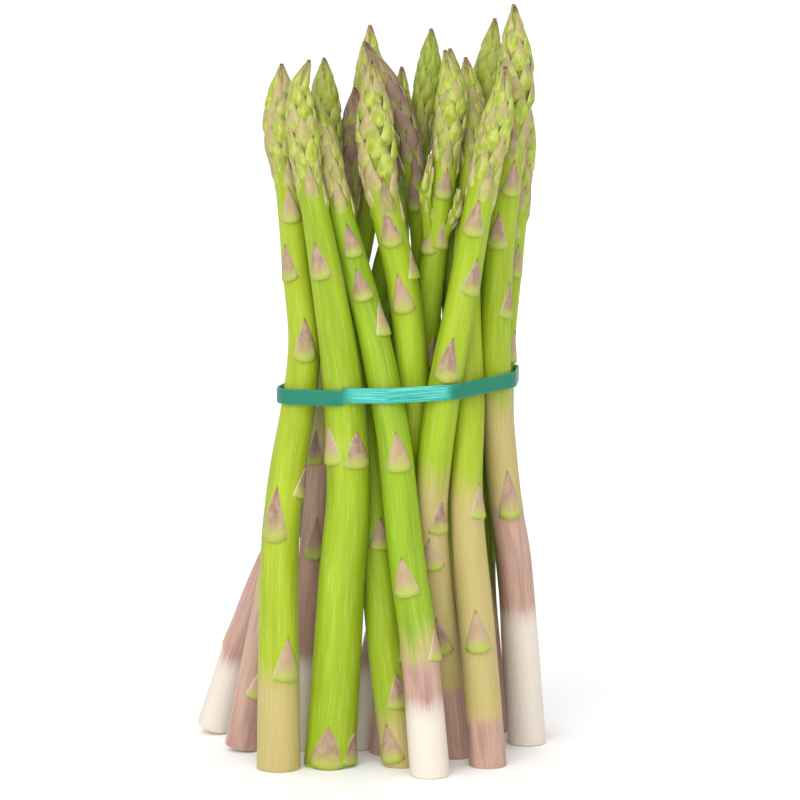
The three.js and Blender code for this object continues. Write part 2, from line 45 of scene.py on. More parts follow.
# The bundle's own dimensions, in millimetres
MIDDLE = (-9.03, 7.34)
WAIST_HEIGHT = 112
LEVEL_STEP = 5
BARE_GAP = 0.6
EASE_PASSES = 500
SETTLE_PASSES = 120
SIDE_SHARE = 0.25
EVEN_OUT = 0.5
HOLD_ON = 0.995
SWELL_END = 0.3
TAPER_START = 0.42
TAPER_POWER = 2.1
BLUNT_TIP = 0.18
CORE_SHARE = 0.78
GOLDEN_TURN = 137.508
BAND_HEIGHT = 114
BAND_SLOPE = 0.054
BAND_WIDTH = 4.6
BAND_THICKNESS = 0.9
BAND_GAP = 0.6

# Fineness of the meshes
AROUND = 28
ROW_STEP = 1.7
FRAME_STEP = 0.5
BAND_STEPS = 240

# The photograph's view
VIEW_TILT = math.radians(9)
VIEW_DISTANCE = 1.5
VIEW_HEIGHT = 0.1096
LENS = 225

# Share of a colour's display brightness that its surface has, as the room brightens it
ROOM_SHADE = 0.78

# Each spear: its centre line (x, y, z); girth as radii at the foot, waist, neck and head; the heights
# where the head starts and ends; the scales that show (height, turn, length); the heights up to which
# the stem is pale, blushed and tan; how yellow the green is; and how purple the scales are.
SPEARS = [
    dict(name="front_left", line=[(-36.5, -15, 0), (-36, -11, 63), (-34, -9.5, 87), (-30, -8, 111),
         (-28.5, -7.5, 129), (-30.5, -7, 150), (-32.5, -6, 171), (-35, -5.5, 191), (-35, -5, 211)],
         girth=(6.6, 5.1, 4, 5.4), head=(178, 211),
         scales=[(28, -62, 12), (70, -115, 15), (83, -20, 9), (124, -84, 12), (148, -130, 10),
                 (165, -92, 10)],
         tones=(0, 0, 20), yellow=0.75, purple=0.55),
    dict(name="front_thick", line=[(-21, -9, 0), (-17, -10.5, 51), (-14.5, -11, 81), (-15, -11.5, 102),
         (-16.5, -12, 121), (-20, -12.5, 148), (-23.5, -13, 166), (-26.5, -13.5, 180),
         (-29, -14, 205), (-26, -14, 213)],
         girth=(7.7, 6.2, 3.8, 4.6), head=(176, 213),
         scales=[(1.5, -128, 12), (2.5, -28, 9), (93, -62, 10), (94, -145, 11), (150, -112, 10)],
         tones=(0, 0, 0), yellow=0.45, purple=0.45),
    dict(name="front_diagonal", line=[(9, -24, 0), (5.5, -21, 40), (2.5, -19, 61), (-2, -16, 100),
         (-4.5, -15, 113), (-8, -13.5, 128), (-17, -9.5, 159), (-23.5, -6, 189), (-26.5, -5, 200)],
         girth=(6, 5, 3.9, 4.1), head=(172, 200),
         scales=[(35, -22, 9), (55, -106, 11), (92, -80, 11), (131, -20, 9), (142, -88, 9),
                 (155, -75, 9)],
         tones=(22, 30, 34), yellow=0.12, purple=0.5),
    dict(name="front_centre", line=[(-6.5, 10, 0), (-1, 1, 51), (1.5, -4, 80), (3.5, -10, 114),
         (1, -10.5, 144), (-6, -11.5, 177), (-7.5, -11.5, 195), (-8.5, -12, 213)],
         girth=(5.2, 5, 4.5, 5.8), head=(170, 213),
         scales=[(120, -45, 9), (139, -100, 11), (148, -20, 8), (159, -92, 10)],
         tones=(0, 20, 30), yellow=0.5, purple=0.62),
    dict(name="front_right_bent", line=[(16.5, 5, 0), (13.5, 0.5, 30), (8.5, -5.5, 68), (8, -7.5, 81),
         (12, -12.5, 112), (18, -13.5, 142), (23.5, -13.5, 172), (29.5, -14, 200), (31, -14, 211)],
         girth=(5.2, 5.1, 4.2, 4.7), head=(176, 211),
         scales=[(35, -85, 11), (62, -140, 9), (73, -22, 9), (119, -95, 12), (145, -60, 10),
                 (162, -96, 10)],
         tones=(0, 18, 80), yellow=0.5, purple=0.5),
    dict(name="right_tan", line=[(26.5, -11, 0), (23, -9, 44), (20, -7.5, 80), (21, -6, 111),
         (20.5, -2, 146), (22, 1.5, 176), (21.5, 3.5, 191), (19.5, 6, 212)],
         girth=(5.7, 4.8, 4, 4.4), head=(182, 212),
         scales=[(36, -90, 12), (76, -35, 10), (133, -70, 9), (160, -100, 9)],
         tones=(0, 10, 76), yellow=0.75, purple=0.5),
    dict(name="right_tall", line=[(39, 19, 0), (34.5, 8, 59), (31.5, 4.5, 78), (28, -2, 116),
         (27.5, -2.5, 134), (29, -3, 155), (32.5, -3.5, 185), (34, -3.5, 206), (33.5, -4, 228.5)],
         girth=(5.8, 4.7, 4.2, 5.6), head=(186, 228.5),
         scales=[(75, -72, 14), (136, -35, 10), (157, -108, 10), (173, -70, 10)],
         tones=(44, 72, 104), yellow=0.6, purple=0.62),
    dict(name="right_edge", line=[(35, 38, 0), (29.5, 22.5, 63), (29.5, 9.5, 117), (32.5, 8.5, 148),
         (34.5, 8.5, 166), (38, 8, 199)],
         girth=(4.8, 4, 3.6, 3.9), head=(170, 199),
         scales=[(121, -70, 9), (147, -60, 9), (158, -100, 8)],
         tones=(0, 20, 40), yellow=0.4, purple=0.6),
    dict(name="middle_low", line=[(0.5, -10, 0), (-4, -7.5, 35), (-8, -4, 83), (-11.5, -2, 110),
         (-16, 1, 146), (-21, 4.5, 193), (-21.5, 6, 212)],
         girth=(5.5, 4.6, 4, 4.9), head=(179, 212),
         scales=[(2.5, -117, 11), (18.4, -61, 10), (66, -83, 9)],
         tones=(0, 0, 8), yellow=0.5, purple=0.12),
    dict(name="left_purple", line=[(-29.5, 12, 0), (-26, 6, 69), (-23.5, 3, 100), (-19.5, 2, 131),
         (-16.5, 2, 170), (-14.5, 2, 203)],
         girth=(4.9, 3.7, 3.5, 4), head=(172, 203),
         scales=[(62, -84, 12), (91, -120, 9)],
         tones=(30, 92, 118), yellow=0.6, purple=1.0),
    dict(name="back_left_long", line=[(-58.5, 34, 0), (-44.5, 25.5, 43), (-30.5, 19, 76),
         (-16, 12, 109), (-8.5, 12, 129), (-4, 12, 150), (4.5, 12, 178), (8.5, 12, 205),
         (9.5, 12, 220)],
         girth=(5.2, 4.2, 3.3, 4), head=(190, 220), scales=[], square=True,
         tones=(25, 66, 90), yellow=0.2, purple=0.1),
    dict(name="back_left_red", line=[(-48.5, 9, 0), (-38, 9.5, 53), (-25, 11, 108), (-14.5, 10, 145),
         (-10, 10, 169), (-9.5, 11, 187), (-9, 12, 221)],
         girth=(5.1, 4.4, 3.6, 4.7), head=(185, 221), square=True,
         scales=[(18, -66, 10), (172, -90, 9)],
         tones=(0, 42, 66), yellow=0.5, purple=0.45),
    dict(name="back_leaning", line=[(19.5, 8, 0), (14, 8.5, 71), (11, 9, 108), (7.5, 6, 157),
         (3, 4, 184), (-4.5, 2.5, 206), (-10.5, 2, 217)],
         girth=(4.8, 4.2, 3.6, 4.4), head=(178, 217), scales=[(168, -96, 9)],
         tones=(0, 36, 50), yellow=0.4, purple=1.0),
    dict(name="centre_with_shoots", line=[(-11, 6, 0), (0, 3, 60), (3.5, 2, 79), (7, 0, 116),
         (10, -1.5, 152), (14, -3, 185), (15.5, -3.5, 202), (13.5, -4, 215)],
         girth=(5, 4.1, 3.8, 4.8), head=(184, 215), shoots=True,
         scales=[(121, -84, 9), (155, -125, 8), (157, -45, 8), (172, -80, 9)],
         tones=(26, 40, 44), yellow=0.45, purple=0.4),
    dict(name="back_thin", line=[(4.5, 30, 0), (1, 20, 69), (-1, 14, 107), (-0.5, 15, 153),
         (0.5, 16, 208)],
         girth=(4, 3.4, 3, 3.3), head=(180, 208), scales=[],
         tones=(0, 28, 40), yellow=0.4, purple=0.5),
    dict(name="back_centre", line=[(24.5, 28, 0), (20, 13, 77), (17, 6.5, 109), (15.5, 7.5, 139),
         (17.5, 11, 193), (15.5, 12, 214)],
         girth=(4.6, 4, 3.6, 4), head=(182, 214), scales=[],
         tones=(0, 26, 34), yellow=0.4, purple=0.25),
    dict(name="back_right", line=[(31, 34, 0), (28, 22, 69), (25, 17, 108), (24, 12, 163),
         (24.5, 12, 196), (28, 12, 223)],
         girth=(4.6, 4, 3.6, 4.2), head=(190, 223), scales=[(38, -70, 10)],
         tones=(0, 30, 42), yellow=0.35, purple=0.15),
]

BLUSHED = {"right_tall", "left_purple", "back_left_long", "back_left_red", "back_leaning"}

# Side shoots of the centre spear: height, turn, length and radius
SIDE_SHOOTS = [(157, -140, 27, 2.1), (158, -38, 17, 1.9)]


def blend(a, b, t):
    return a + (b - a) * t


def clamp01(t):
    return min(1.0, max(0.0, t))


def ease(t):
    t = clamp01(t)
    return t * t * (3 - 2 * t)


def through(zs, values, z):
    """Smooth value at z through points, with slopes taken from the neighbours."""
    last = len(zs) - 1

    def slope(i):
        lo, hi = max(0, i - 1), min(last, i + 1)
        return (values[hi] - values[lo]) / (zs[hi] - zs[lo])

    if z <= zs[0]:
        return values[0] + slope(0) * (z - zs[0])
    if z >= zs[last]:
        return values[last] + slope(last) * (z - zs[last])
    i = 0
    while zs[i + 1] < z:
        i += 1
    span = zs[i + 1] - zs[i]
    t = (z - zs[i]) / span
    return ((1 + 2 * t) * (1 - t) ** 2 * values[i] + t * (1 - t) ** 2 * span * slope(i)
            + t * t * (3 - 2 * t) * values[i + 1] + t * t * (t - 1) * span * slope(i + 1))


def outline(spear, z):
    """Radius of a spear at a height, out to the backs of the head scales."""
    foot, waist, neck, head = spear["girth"]
    low, tip = spear["head"]
    if z <= WAIST_HEIGHT:
        return blend(foot, waist, clamp01(z / WAIST_HEIGHT))
    if z <= low:
        return blend(waist, neck, (z - WAIST_HEIGHT) / (low - WAIST_HEIGHT))
    t = clamp01((z - low) / (tip - low))
    full = blend(neck, head, ease(t / SWELL_END))
    taper = 1 - clamp01((t - TAPER_START) / (1 - TAPER_START)) ** TAPER_POWER
    return full * max(BLUNT_TIP, taper)


def core(spear, z):
    low, tip = spear["head"]
    t = ease((z - low) / (SWELL_END * (tip - low)))
    return max(0.6, outline(spear, z) * blend(1, CORE_SHARE, t))


def ease_apart():
    """Eases the centre lines apart level by level, as the solids are, until no two spears touch."""
    lines = []
    for spear in SPEARS:
        zs = [p[2] for p in spear["line"]]
        tip = spear["head"][1]
        levels = [k * LEVEL_STEP for k in range(math.ceil(tip / LEVEL_STEP) + 1)]
        want = [[through(zs, [p[c] for p in spear["line"]], z) for z in levels] for c in (0, 1)]
        room = []
        for k, z in enumerate(levels):
            lo, hi = max(0, k - 1), min(len(levels) - 1, k + 1)
            lean = math.hypot(want[0][hi] - want[0][lo], want[1][hi] - want[1][lo]) / (levels[hi] - levels[lo])
            room.append(outline(spear, min(z, tip)) * math.hypot(1, lean) + BARE_GAP / 2)
        lines.append(dict(levels=levels, want=want, room=room, x=list(want[0]), y=list(want[1])))
    highest = max(len(line["levels"]) for line in lines)
    for step in range(EASE_PASSES + SETTLE_PASSES):
        for k in range(highest):
            here = [line for line in lines if k < len(line["levels"])]
            for i, a in enumerate(here):
                for b in here[i + 1:]:
                    dx, dy = b["x"][k] - a["x"][k], b["y"][k] - a["y"][k]
                    need = a["room"][k] + b["room"][k]
                    if abs(dx) < need and abs(dy) < need:
                        apart = math.hypot(dx, dy)
                        short = need - apart
                        if short > 0:
                            push_x = SIDE_SHARE * short * dx / apart / 2
                            push_y = short * dy / apart / 2
                            a["x"][k] -= push_x
                            a["y"][k] -= push_y
                            b["x"][k] += push_x
                            b["y"][k] += push_y
        if step < EASE_PASSES:
            for line in lines:
                for now, want in ((line["x"], line["want"][0]), (line["y"], line["want"][1])):
                    off = [a - b for a, b in zip(now, want)]
                    last = len(off) - 1
                    for k in range(last + 1):
                        near = (off[max(0, k - 1)] + off[min(last, k + 1)]) / 2
                        now[k] = want[k] + HOLD_ON * blend(off[k], near, EVEN_OUT)
    return lines


def frames_along(spear, line):
    """Centre, right and away vectors every half millimetre, from below the foot to above the tip."""
    def centre(z):
        return Vector((through(line["levels"], line["x"], z) - MIDDLE[0],
                       through(line["levels"], line["y"], z) - MIDDLE[1], z))

    table = []
    steps = int((spear["head"][1] + 6) / FRAME_STEP)
    for n in range(-20, steps):
        z = n * FRAME_STEP
        along = (centre(z + 1) - centre(z - 1)).normalized()
        right = (Vector((1, 0, 0)) - along * along.x).normalized()
        table.append((centre(z), right, along.cross(right)))
    return table


for spear, line in zip(SPEARS, ease_apart()):
    spear["frames"] = frames_along(spear, line)


def beside(spear, z, turn, radius):
    """Point in millimetres beside the centre line, turned about the spear and set out by a radius."""
    at = z / FRAME_STEP + 20
    n = max(0, min(len(spear["frames"]) - 2, int(at)))
    t = at - n
    (c0, r0, a0), (c1, r1, a1) = spear["frames"][n], spear["frames"][n + 1]
    angle = math.radians(turn)
    c, s = radius * math.cos(angle), radius * math.sin(angle)
    return c0.lerp(c1, t) + r0.lerp(r1, t) * c + a0.lerp(a1, t) * s


def draw_scales(spear, rng):
    """The scales of a spear, as height, turn, length, half width in degrees, lift and headness."""
    low, tip = spear["head"]
    found = [dict(z=z, turn=turn, length=length, half=45, lift=0.95, head=0.0, seen=True)
             for z, turn, length in spear["scales"]]
    turn = 360 * rng.random()
    z = 20 + 14 * rng.random()
    while z < low - 9:
        length = blend(12, 8.5, z / low)
        clear_of_band = z + length < BAND_HEIGHT - 7 or z > BAND_HEIGHT + 5
        if clear_of_band and all(abs(other["z"] - z) > 13 for other in found):
            found.append(dict(z=z, turn=turn, length=length, half=43, lift=0.8, head=0.0, seen=False))
        turn += GOLDEN_TURN
        z += blend(50, 19, z / low) * (0.85 + 0.3 * rng.random())
    placed = [s for s in (settled(spear, scale) for scale in found) if s]
    return [s for s in placed if s["seen"] or math.sin(math.radians(s["turn"])) > -0.2]


def head_scales(spear, rng):
    """Close spiral of scales up the head, the lowest ones looser on the neck."""
    low, tip = spear["head"]
    count = 36
    found = []
    for n in range(count):
        t = (n / count) ** 0.84
        z = blend(low - 9, tip - 7, t)
        length = min(blend(14, 11, t) * (0.9 + 0.2 * rng.random()), tip + 0.2 - z)
        found.append(dict(z=z, turn=n * GOLDEN_TURN + 14 * rng.random(), length=length,
                          half=blend(40, 54, t), lift=0.5 + 0.3 * rng.random(),
                          head=blend(0.35, 1, ease(t * 3))))
    return found


def has_room(spear, scale):
    for up, side in ((0, 0), (0.5, 0), (0, 0.7), (0, -0.7), (1, 0)):
        z = scale["z"] + up * scale["length"]
        spot = beside(spear, z, scale["turn"] + side * scale["half"], core(spear, z) + scale["lift"])
        for other in SPEARS:
            if other is spear or spot.z > other["head"][1]:
                continue
            middle = beside(other, spot.z, 0, 0)
            if math.hypot(spot.x - middle.x, spot.y - middle.y) < outline(other, spot.z) * 1.14 + 0.86:
                return False
    return True


def settled(spear, scale):
    """Turns a scale away from its neighbours by the smallest step that gives it room."""
    for step in range(13):
        for side in (1, -1):
            moved = dict(scale, turn=scale["turn"] + side * step * 15)
            if has_room(spear, moved):
                return moved
    return None


def new_layers(bm):
    """Per-corner facts that the materials read: skin follows the stem, mark holds the stem's tones and
    leaf holds the place on a scale."""
    return (bm.verts.layers.float_vector.new("skin"),
            bm.verts.layers.float_color.new("mark"),
            bm.verts.layers.float_color.new("leaf"))


def stem_swell(spear, scales, z, turn):
    """Slight bulge of the stem under and behind each scale."""
    out = 0.0
    for scale in scales:
        if scale["head"] == 0.0 and abs(z - scale["z"]) < 9:
            dz = z - scale["z"] - 0.2
            away = math.radians(turn - scale["turn"])
            width = 1.5 if dz < 0 else 5.0
            out += 0.4 * math.exp(-(dz / width) ** 2) * max(0.0, math.cos(away)) ** 1.5
    return out


def stem_mark(spear, z):
    """Pale, blush and tan shares of the stem at a height, and how yellow it is."""
    pale, blush, tan = spear["tones"]
    soft = 0.35 * max(pale, 12)
    return (1 - ease((z - pale + 7) / 14) if pale else 0.0,
            1 - ease((z - blush + soft * 0.5) / (soft + 10)) if blush else 0.0,
            1 - ease((z - tan + 8) / 34) if tan else 0.0,
            spear["yellow"])


def add_stem(bm, layers, spear, scales, seed):
    """The stem and the core of the head: a grid wrapped about the centre line and closed at its ends."""
    skin, mark, leaf = layers
    low, tip = spear["head"]
    foot = spear["girth"][0]
    way = (beside(spear, 4, 0, 0) - beside(spear, 0, 0, 0)).normalized()
    square = spear.get("square", False)
    start = foot * math.hypot(way.x, way.y) if square else 0.0
    rows = int((tip - start) / ROW_STEP)
    made = bmesh.ops.create_grid(bm, x_segments=AROUND, y_segments=rows + 4, size=0.5)["verts"]
    for v in made:
        turn = (v.co.x + 0.5) * 360
        row = round((v.co.y + 0.5) * (rows + 4))
        if row < 4:
            share = (0.0, 0.55, 0.93, 0.985)[row]
            z = start + (0.25 if row == 3 else 0.0)
        else:
            share = 1.0
            z = start + 0.6 + (row - 4) / rows * (tip - 0.6 - start - 0.6)
        swell = stem_swell(spear, scales, z, turn)
        radius = share * (core(spear, z) + (swell if row > 4 else 0))
        if row == rows + 4:
            radius = 0.0
        if square:
            place = beside(spear, start, turn, radius)
            place += (beside(spear, z, turn, radius) - place) if row >= 3 else Vector()
        else:
            level = beside(spear, z, 0, 0) + Vector((math.cos(math.radians(turn)),
                                                     math.sin(math.radians(turn)), 0)) * radius
            place = level.lerp(beside(spear, z, turn, radius), ease(z / 12))
        v.co = place * MM
        v[skin] = Vector((math.cos(math.radians(turn)), math.sin(math.radians(turn)), z * 0.1 + 31 * seed))
        v[mark] = stem_mark(spear, z)
        v[leaf] = (0, 1 if row < 3 else 0, 0, ease((z - low) / 8))
    bmesh.ops.remove_doubles(bm, verts=made, dist=1e-7)


def add_scale(bm, layers, spear, scale, chance, fine=(6, 6), place=None):
    """One clasping scale: a small grid drawn in to a point, cupped to the stem and given a thickness."""
    skin, mark, leaf = layers
    low, tip = spear["head"]
    head = scale["head"]
    before = set(bm.verts)
    made = bmesh.ops.create_grid(bm, x_segments=fine[0], y_segments=fine[1], size=0.5)["verts"]
    lean = scale.get("lean", 0.0)
    for v in made:
        up = v.co.y + 0.5
        across = v.co.x * 2
        narrow = max(0.03, (1 - up ** blend(1.15, 1.4, head)) ** blend(0.9, 0.95, head))
        narrow *= blend(1, 0.78 + 0.22 * math.sin(math.pi * min(1, 0.15 + up)), head)
        drop = 0.09 * scale["length"] * (1 - across * across) * (1 - up) * (1 - head)
        z = scale["z"] + up * scale["length"] - drop
        turn = scale["turn"] + across * narrow * scale["half"] + lean * up * up * 10
        if place:
            co = place(up, turn, across, scale)
        else:
            edge = abs(across) ** 2.2
            if head > 0:
                out = outline(spear, min(z, tip - 0.4))
                inner = core(spear, min(z, tip))
                belly = math.sin(math.pi * min(1.0, 0.12 + up * 0.95)) ** 0.8
                rise = blend(0.0, 1.0, min(1, up * 3.5)) * blend(0.55, 1.0, belly)
                height = inner + blend(-0.5, max(0.35, out - inner) + scale["lift"] * 0.5, rise)
                height += 0.45 * up ** 3 * scale["lift"]
                height -= edge * blend(0.3, 0.75, up)
                height = min(height, 0.3 + 0.6 * (tip + 0.2 - z))
            else:
                ridge = scale["lift"] * blend(1.0, 0.3, ease(up * 1.3))
                height = core(spear, z) + ridge * (1 - 0.55 * edge) - 0.12 * edge * (1 - up)
                if up > 0.9:
                    height += 0.15
            co = beside(spear, z, turn, height)
        v.co = co * MM
        angle = math.radians(turn)
        v[skin] = Vector((math.cos(angle), math.sin(angle), z * 0.1 + 57 * chance))
        v[mark] = stem_mark(spear, z)[:3] + (spear["yellow"],)
        v[leaf] = (up, 0.5 + across * 0.5, chance, head)
    faces = list({f for v in made for f in v.link_faces})
    for f in faces:
        f.material_index = 1
    bmesh.ops.recalc_face_normals(bm, faces=faces)
    middle = sum((v.co for v in made), Vector()) / len(made)
    hub = beside(spear, scale["z"] + scale["length"] / 2, 0, 0) * MM if not place else middle
    average = sum((f.normal for f in faces), Vector())
    if not place and average.dot(middle - hub) < 0:
        bmesh.ops.reverse_faces(bm, faces=faces)
    thick = 0.4 if head == 0 else 0.5
    bmesh.ops.solidify(bm, geom=faces, thickness=thick * MM)
    for f in {f for v in set(bm.verts) - before for f in v.link_faces}:
        f.material_index = 1


def add_shoot(bm, layers, spear, shoot, rng):
    """A small side shoot that stands close along the stem, with its own little scales."""
    z0, turn0, length, radius = shoot
    skin, mark, leaf = layers

    def thick(t):
        return radius * max(0.16, 1 - clamp01((t - 0.45) / 0.55) ** 1.6)

    def put(t, turn, out):
        axis = core(spear, z0) + blend(-1, radius * 1.1, ease(t * 1.6))
        hub = beside(spear, z0 + t * length, turn0, axis)
        angle = math.radians(turn)
        return hub + Vector((math.cos(angle), math.sin(angle), 0)) * out

    made = bmesh.ops.create_grid(bm, x_segments=14, y_segments=16, size=0.5)["verts"]
    for v in made:
        turn = (v.co.x + 0.5) * 360
        t = v.co.y + 0.5
        v.co = put(t, turn, 0 if t in (0.0, 1.0) or t > 0.999 or t < 0.001 else 0.8 * thick(t)) * MM
        v[skin] = Vector((math.cos(math.radians(turn)), math.sin(math.radians(turn)), t * 2))
        v[mark] = (0, 0, 0, spear["yellow"])
        v[leaf] = (0, 0, 0, 0)
    bmesh.ops.remove_doubles(bm, verts=made, dist=1e-7)
    for n in range(14):
        low = 0.2 + 0.056 * n
        scale = dict(z=0, turn=n * GOLDEN_TURN, length=1.0, half=60, lift=0.4, head=1.0)

        def on_shoot(up, turn, across, facts, low=low):
            t = min(1.0, low + up * 0.22)
            out = 0.8 * thick(t) + blend(-0.2, 0.45, min(1, up * 3)) - 0.5 * abs(across) ** 2
            return put(t, turn, max(0.15, out))

        add_scale(bm, layers, spear, scale, rng.random(), fine=(4, 4), place=on_shoot)


def finish_piece(name, bm, materials, smooth=True):
    """Turns a bmesh into a piece at the origin, on the bundle's one body."""
    mesh = bpy.data.meshes.new(name)
    for f in bm.faces:
        f.smooth = smooth
    bm.to_mesh(mesh)
    bm.free()
    for material in materials:
        mesh.materials.append(material)
    piece = bpy.data.objects.new(name, mesh)
    bpy.context.scene.collection.objects.link(piece)
    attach(piece, "root")
    return piece


def make_spear(spear, seed, materials):
    rng = random.Random(700 + seed)
    bm = bmesh.new()
    layers = new_layers(bm)
    scales = draw_scales(spear, rng)
    add_stem(bm, layers, spear, scales, seed)
    bmesh.ops.recalc_face_normals(bm, faces=bm.faces)
    for scale in scales:
        add_scale(bm, layers, spear, scale, rng.random(), fine=(8, 8))
    for scale in head_scales(spear, rng):
        add_scale(bm, layers, spear, scale, rng.random())
    for shoot in SIDE_SHOOTS if spear.get("shoots") else ():
        add_shoot(bm, layers, spear, shoot, rng)
    piece = finish_piece("asparagus_" + spear["name"], bm, materials)
    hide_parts("spear_" + spear["name"])
    "asparagus_blush" if spear["name"] in BLUSHED else "asparagus_green"
    return piece


def band_point(turn, middle_height, out):
    """Where the band lies on the bundle in one direction, set out from the stems it meets over its width."""
    way = (math.cos(turn), math.sin(turn))
    best = None
    for spear in SPEARS:
        for z in (middle_height - BAND_WIDTH / 2, middle_height + BAND_WIDTH / 2):
            low, high = beside(spear, z - 2, 0, 0), beside(spear, z + 2, 0, 0)
            lean = math.hypot(high.x - low.x, high.y - low.y) / 4
            radius = outline(spear, z) * math.hypot(1, lean)
            middle = beside(spear, z, 0, 0)
            reach = middle.x * way[0] + middle.y * way[1] + radius
            if best is None or reach > best[0]:
                best = (reach, middle, radius)
    reach, middle, radius = best
    return middle.x + (radius + out) * way[0], middle.y + (radius + out) * way[1]


def make_band(material):
    """The closed flat band: a wrapped grid, eased a little, with rounded edges."""
    bm = bmesh.new()
    run = bm.verts.layers.float_vector.new("run")
    rims = (-0.5, -0.46, -0.3, 0, 0.3, 0.46, 0.5)
    profile = [(up, 1 - (0.22 if abs(up) == 0.5 else 0.05 if abs(up) == 0.46 else 0)) for up in rims]
    profile += [(up, 0.0 + (0.22 if abs(up) == 0.5 else 0)) for up in (0.5, 0.3, -0.3, -0.5)]
    sides = len(profile)
    made = bmesh.ops.create_grid(bm, x_segments=BAND_STEPS, y_segments=sides, size=0.5)["verts"]
    cache = {}
    for v in made:
        n = round((v.co.x + 0.5) * BAND_STEPS) % BAND_STEPS
        up, out = profile[round((v.co.y + 0.5) * sides) % sides]
        turn = 2 * math.pi * n / BAND_STEPS
        if n not in cache:
            level = BAND_HEIGHT + BAND_SLOPE * band_point(turn, BAND_HEIGHT, 0)[0]
            cache[n] = (level, band_point(turn, level, BAND_GAP))
        level, base = cache[n]
        set_out = out * BAND_THICKNESS
        v.co = Vector((base[0] + set_out * math.cos(turn), base[1] + set_out * math.sin(turn),
                       level + up * BAND_WIDTH)) * MM
        v[run] = Vector((math.cos(turn), math.sin(turn), up))
    bmesh.ops.remove_doubles(bm, verts=made, dist=1e-7)
    bmesh.ops.recalc_face_normals(bm, faces=bm.faces)
    piece = finish_piece("teal_rubber_band", bm, [material])
    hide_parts("rubber_band")
    return piece


class Value:
    """A socket that can be used in sums, so that shader maths reads as arithmetic."""

    def __init__(self, maker, socket):
        self.maker = maker
        self.socket = socket

    def _math(self, operation, a, b=None):
        values = {0: a} if b is None else {0: a, 1: b}
        return self.maker.node("ShaderNodeMath", values, operation=operation)

    def __add__(self, other):
        return self._math("ADD", self, other)

    def __radd__(self, other):
        return self._math("ADD", other, self)

    def __sub__(self, other):
        return self._math("SUBTRACT", self, other)

    def __rsub__(self, other):
        return self._math("SUBTRACT", other, self)

    def __mul__(self, other):
        return self._math("MULTIPLY", self, other)

    def __rmul__(self, other):
        return self._math("MULTIPLY", other, self)

    def __pow__(self, other):
        return self._math("POWER", self, other)

    def size(self):
        return self._math("ABSOLUTE", self)

    def step(self, start, end):
        """0 below start, 1 above end and smooth between."""
        return self.maker.node("ShaderNodeMapRange", {0: self, 1: start, 2: end, 3: 0.0, 4: 1.0},
                               interpolation_type="SMOOTHSTEP")

    def kept(self):
        return self.maker.node("ShaderNodeClamp", {0: self})


class Finish:
    """One procedural material and the nodes it is made of."""

    def __init__(self, name, **same_all_over):
        self.material = bpy.data.materials.new(name)
        self.material.use_nodes = True
        self.tree = self.material.node_tree
        self.shader = self.tree.nodes["Principled BSDF"]
        for socket, value in same_all_over.items():
            self.shader.inputs[socket.replace("_", " ")].default_value = value

    def node(self, kind, values=None, out=0, **settings):
        made = self.tree.nodes.new(kind)
        for key, value in settings.items():
            setattr(made, key, value)
        for key, value in (values or {}).items():
            self.join(value, made.inputs[key])
        outputs = [o for o in made.outputs if o.enabled]
        chosen = made.outputs[out] if isinstance(out, str) else outputs[out]
        return Value(self, chosen)

    def join(self, value, socket):
        if isinstance(value, Value):
            self.tree.links.new(value.socket, socket)
        else:
            socket.default_value = value

    def fact(self, name, out="Vector"):
        return self.node("ShaderNodeAttribute", out=out, attribute_name=name)

    def parts(self, vector):
        split = self.tree.nodes.new("ShaderNodeSeparateXYZ")
        self.join(vector, split.inputs[0])
        return [Value(self, o) for o in split.outputs]

    def noise(self, place, scale, detail=3.0, rough=0.55):
        return self.node("ShaderNodeTexNoise", {"Vector": place, "Scale": scale, "Detail": detail,
                                                "Roughness": rough})

    def stretch(self, place, factors):
        return self.node("ShaderNodeVectorMath", {0: place, 1: factors}, operation="MULTIPLY")

    def mix(self, share, first, second):
        made = self.tree.nodes.new("ShaderNodeMix")
        made.data_type = "RGBA"
        made.clamp_factor = True
        self.join(share, made.inputs[0])
        self.join(first, made.inputs[6])
        self.join(second, made.inputs[7])
        return Value(self, made.outputs[2])

    def feed(self, socket, value):
        self.join(value, self.shader.inputs[socket])

    def bump(self, height, strength, distance):
        self.feed("Normal", self.node("ShaderNodeBump", {"Height": height, "Strength": strength,
                                                         "Distance": distance}))


def colour(hexcode):
    """A colour as it looks in this bright room, as the darker linear values of its surface."""
    def linear(v):
        v /= 255
        return v / 12.92 if v <= 0.04045 else ((v + 0.055) / 1.055) ** 2.4

    return (*(ROOM_SHADE * linear((hexcode >> shift) & 255) for shift in (16, 8, 0)), 1.0)


